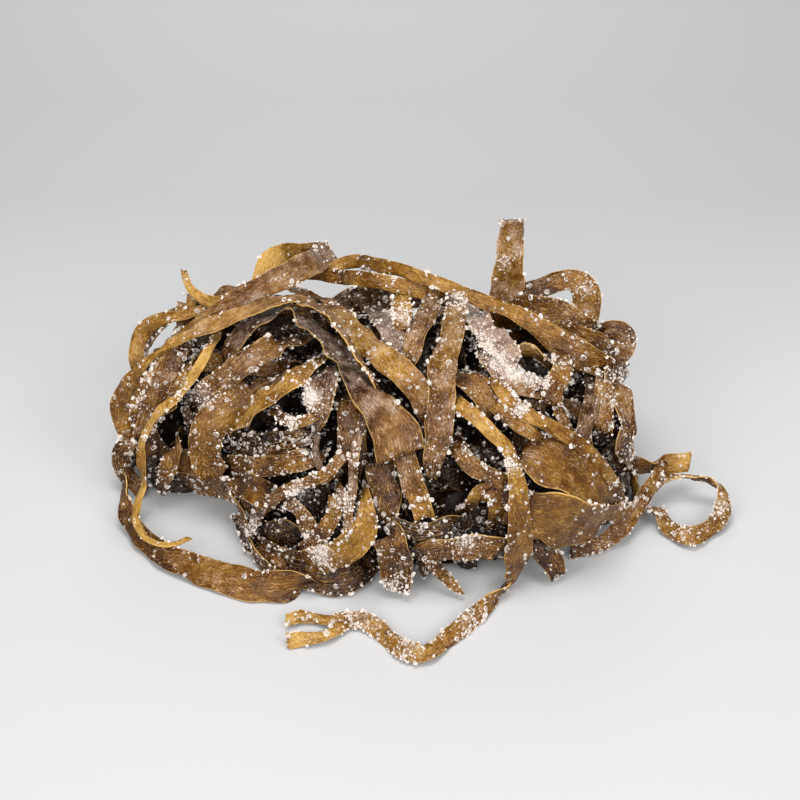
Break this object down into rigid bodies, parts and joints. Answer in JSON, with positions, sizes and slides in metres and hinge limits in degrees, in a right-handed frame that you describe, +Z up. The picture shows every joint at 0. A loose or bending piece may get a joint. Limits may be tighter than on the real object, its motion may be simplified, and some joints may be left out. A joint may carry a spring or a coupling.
{
  "type": "dried sea spaghetti",
  "caption": "Loose heap of dried, salted seaweed straps with free ends and a loop lying on the table round it.",
  "frame": {"origin": "on the table under the middle of the heap", "axes": "+Z up, +X along the heap to the right, -Y towards the front with the loose tail"},
  "size_m": [0.1797, 0.1302, 0.0762],
  "materials": {
    "dried_seaweed": "dried and salted, leathery, half matt",
    "sea_salt": "coarse clear to white crystals"
  },
  "bodies": {
    "root": {"sea_spaghetti_heap": "dried_seaweed"}
  },
  "joints": []
}
